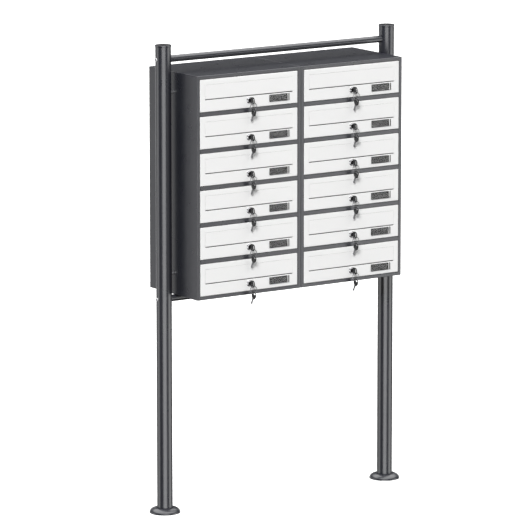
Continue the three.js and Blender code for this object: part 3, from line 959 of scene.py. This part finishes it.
def door_sets():
    """The pieces of a door, each with the kind of body that it rides on."""
    spare, in_lock = spare_place(), lock_key_place()
    pieces = [
        ("door_pan", "door", "white_powder_coat", door_mesh(), ["door"]),
        ("door_pins", "door", "bolt_steel", door_pins_mesh(), []),
        ("slot_pips", "door", "white_powder_coat", pips_mesh(), []),
        # painted shade: a black strip that darkens the letter slot's line
        ("slot_shade_strip", "door", "cap_black", slot_shade_strip_mesh(), []),
        ("name_frame", "door", "lock_black", plate_ring_mesh(), []),
        ("name_card", "door", "name_card", plate_part_mesh("card", CARD_DEPTHS), []),
        ("name_window", "door", "clear_window", plate_part_mesh("window", WINDOW_DEPTHS), []),
        ("name_tab", "door", "white_powder_coat", plate_tab_mesh(), []),
        ("lock_collar", "door", "lock_chrome", collar_mesh(), []),
        ("lock_housing", "door", "lock_chrome", housing_mesh(), []),
        ("lock_nut", "door", "bolt_steel", nut_mesh(), []),
        ("flap_leaf", "flap", "white_powder_coat", flap_mesh(), ["flap"]),
        ("flap_pin", "flap", "bolt_steel", flap_pin_mesh(), []),
        ("lock_plug", "lock", "cap_black", plug_mesh(), ["lock"]),
        ("lock_cam", "lock", "bolt_steel", cam_mesh(), []),
        ("key_bow", "lock", "lock_black", bow_mesh("key_bow", in_lock), []),
        ("key_blade", "lock", "key_steel", blade_mesh("key_blade", BLADE_SHOWN, (), in_lock), []),
        ("key_ring", "keys", "key_steel", ring_mesh(), ["keys"]),
        ("spare_bow", "keys", "lock_black", bow_mesh("spare_bow", spare), []),
        ("spare_blade", "keys", "key_steel", blade_mesh("spare_blade", BLADE["length"], NOTCHES, spare), []),
    ]
    for column in COLUMNS:
        for row in range(1, ROWS + 1):
            label = f"{column}_{row}"
            low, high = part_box(f"door_{label}")
            place = ((low.x + high.x) / 2, low.y, low.z - DOOR_LOWEST * MM)
            for name, body, slot, mesh, stands_for in pieces:
                nodes = [f"{kind}_{label}" for kind in stands_for]
                obj = put(f"{name}_{label}", mesh, slot, f"{body}_{label}", place, nodes)
                obj.visible_shadow = slot != "clear_window"


# ---- Stage, light and camera --------------------------------------------------------------------

FLOOR_SIZE = 80.0
GROUND = 0.03
SKY_LOW = 0.08
SKY_HIGH = 2.5
SKY_RISE = (28.0, 42.0)  # degrees of elevation between which the sky goes from dim to bright
HORIZON = 0.1
FLOOR_GLOW = 0.25
BACKGROUND = 1.05
PANEL_DISTANCE = 8.0
PANEL_SPAN = (-5.0, 1.8)  # the floor doesn't hide what is below it from the object's reflections
PANELS = [  # name, azimuth and half width in degrees, radiance
    ("panel_front", -28.0, 25.0, 2.5),
    ("panel_right", 52.0, 22.0, 1.85),
    ("panel_left", -121.0, 16.0, 1.4),
    ("panel_rear_left", -153.0, 14.0, 0.5),
    ("panel_rear", 170.0, 18.0, 0.9),
    ("panel_rear_right", 122.0, 16.0, 1.0),
]
KEY = {"azimuth": -42.0, "elevation": 30.0, "distance": 20.0, "size": 4.6, "radiance": 54.0}


def floor():
    """A plain pale floor with a faint glow.

    It takes shadows, but doesn't light the object or show in its reflections.
    """
    bm = bmesh.new()
    bmesh.ops.create_grid(bm, x_segments=1, y_segments=1, size=FLOOR_SIZE / 2)
    mesh = bpy.data.meshes.new("floor")
    bm.to_mesh(mesh)
    bm.free()
    obj = bpy.data.objects.new("floor", mesh)
    bpy.context.scene.collection.objects.link(obj)
    material, tree, principled, place = shader("floor", Roughness=0.9, Specular_IOR_Level=0.0)
    broad = noise(tree, place, size=900.0)
    tint(tree, broad, (0.90, 0.90, 0.90), (0.92, 0.92, 0.92), principled.inputs["Base Color"])
    principled.inputs["Emission Color"].default_value = (1.0, 1.0, 1.0, 1.0)
    principled.inputs["Emission Strength"].default_value = FLOOR_GLOW
    mesh.materials.append(material)
    obj.visible_glossy = False
    obj.visible_diffuse = False
    obj.visible_shadow = False


def sky():
    """A studio ceiling: bright overhead and dim towards the horizon, and pale behind the object."""
    world = bpy.data.worlds.new("studio")
    bpy.context.scene.world = world
    world.use_nodes = True
    tree = world.node_tree
    background = tree.nodes["Background"]
    background.inputs["Color"].default_value = (1.0, 1.0, 1.0, 1.0)
    direction = tree.nodes.new("ShaderNodeTexCoord").outputs["Generated"]
    split = tree.nodes.new("ShaderNodeSeparateXYZ")
    tree.links.new(direction, split.inputs["Vector"])
    ceiling = tree.nodes.new("ShaderNodeMapRange")
    ceiling.interpolation_type = "SMOOTHSTEP"
    ceiling.inputs["From Min"].default_value = math.sin(math.radians(SKY_RISE[0]))
    ceiling.inputs["From Max"].default_value = math.sin(math.radians(SKY_RISE[1]))
    ceiling.inputs["To Min"].default_value = SKY_LOW
    ceiling.inputs["To Max"].default_value = SKY_HIGH
    tree.links.new(split.outputs["Z"], ceiling.inputs["Value"])
    ground = tree.nodes.new("ShaderNodeMapRange")
    ground.interpolation_type = "SMOOTHSTEP"
    ground.inputs["From Min"].default_value = -HORIZON
    ground.inputs["From Max"].default_value = HORIZON
    ground.inputs["To Min"].default_value = GROUND / SKY_LOW
    tree.links.new(split.outputs["Z"], ground.inputs["Value"])
    around_us = tree.nodes.new("ShaderNodeMath")
    around_us.operation = "MULTIPLY"
    tree.links.new(ceiling.outputs["Result"], around_us.inputs[0])
    tree.links.new(ground.outputs["Result"], around_us.inputs[1])
    seen = tree.nodes.new("ShaderNodeMix")
    tree.links.new(tree.nodes.new("ShaderNodeLightPath").outputs["Is Camera Ray"], seen.inputs["Factor"])
    tree.links.new(around_us.outputs["Value"], seen.inputs["A"])
    seen.inputs["B"].default_value = BACKGROUND
    tree.links.new(seen.outputs["Result"], background.inputs["Strength"])


def direction(azimuth, elevation):
    """From the object towards a viewer at that azimuth and elevation, in degrees."""
    a, e = math.radians(azimuth), math.radians(elevation)
    return Vector((math.sin(a) * math.cos(e), -math.cos(a) * math.cos(e), math.sin(e)))


def soft_box(name, out, place, width, height, radiance):
    """A rectangular light at that place, which faces back along the direction out."""
    light = bpy.data.lights.new(name, "AREA")
    light.shape = "RECTANGLE"
    light.size, light.size_y = width, height
    light.energy = radiance * math.pi * width * height
    obj = bpy.data.objects.new(name, light)
    bpy.context.scene.collection.objects.link(obj)
    obj.location = place
    obj.rotation_mode = "QUATERNION"
    obj.rotation_quaternion = out.to_track_quat("Z", "Y")
    obj.visible_camera = False
    return obj


def panel_light(name, azimuth, half_width, radiance):
    """A tall panel that shows only in the object's reflections."""
    out = direction(azimuth, 0.0)
    width = 2 * PANEL_DISTANCE * math.tan(math.radians(half_width))
    place = out * PANEL_DISTANCE + Vector((0.0, 0.0, sum(PANEL_SPAN) / 2))
    obj = soft_box(name, out, place, width, PANEL_SPAN[1] - PANEL_SPAN[0], radiance)
    obj.visible_diffuse = False


def key_light():
    """The light from the upper left that shades the object, and doesn't show in its reflections."""
    out = direction(KEY["azimuth"], KEY["elevation"])
    place = AIM + out * KEY["distance"]
    obj = soft_box("key_light", out, place, KEY["size"], KEY["size"], KEY["radiance"])
    obj.visible_glossy = False


CAMERA = {"azimuth": -34.123, "elevation": 10.604, "distance": 14.944, "lens": 317.65}
AIM = Vector((-0.04416, 0.0, 0.75922))  # from the ground between the two posts


def camera():
    data = bpy.data.cameras.new("camera")
    data.lens = CAMERA["lens"]
    data.sensor_width = 36.0
    data.clip_start, data.clip_end = 0.1, 200.0
    obj = bpy.data.objects.new("camera", data)
    bpy.context.scene.collection.objects.link(obj)
    back = direction(CAMERA["azimuth"], CAMERA["elevation"])
    obj.location = AIM + Vector((0.0, centre_of("post_left").y, 0.0)) + back * CAMERA["distance"]
    obj.rotation_mode = "QUATERNION"
    obj.rotation_quaternion = back.to_track_quat("Z", "Y")
    bpy.context.scene.camera = obj


# ---- The scene ----------------------------------------------------------------------------------

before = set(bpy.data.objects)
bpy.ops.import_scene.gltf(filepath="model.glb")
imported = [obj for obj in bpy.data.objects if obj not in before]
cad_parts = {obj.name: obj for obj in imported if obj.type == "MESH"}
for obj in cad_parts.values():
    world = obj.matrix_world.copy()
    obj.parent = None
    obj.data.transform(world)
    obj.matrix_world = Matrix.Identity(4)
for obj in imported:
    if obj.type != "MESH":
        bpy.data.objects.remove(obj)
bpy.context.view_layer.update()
FINISH = finishes()
stand()
cabinets()
door_sets()
floor()
sky()
for panel in PANELS:
    panel_light(*panel)
key_light()
camera()
bpy.context.scene.view_settings.view_transform = "Standard"
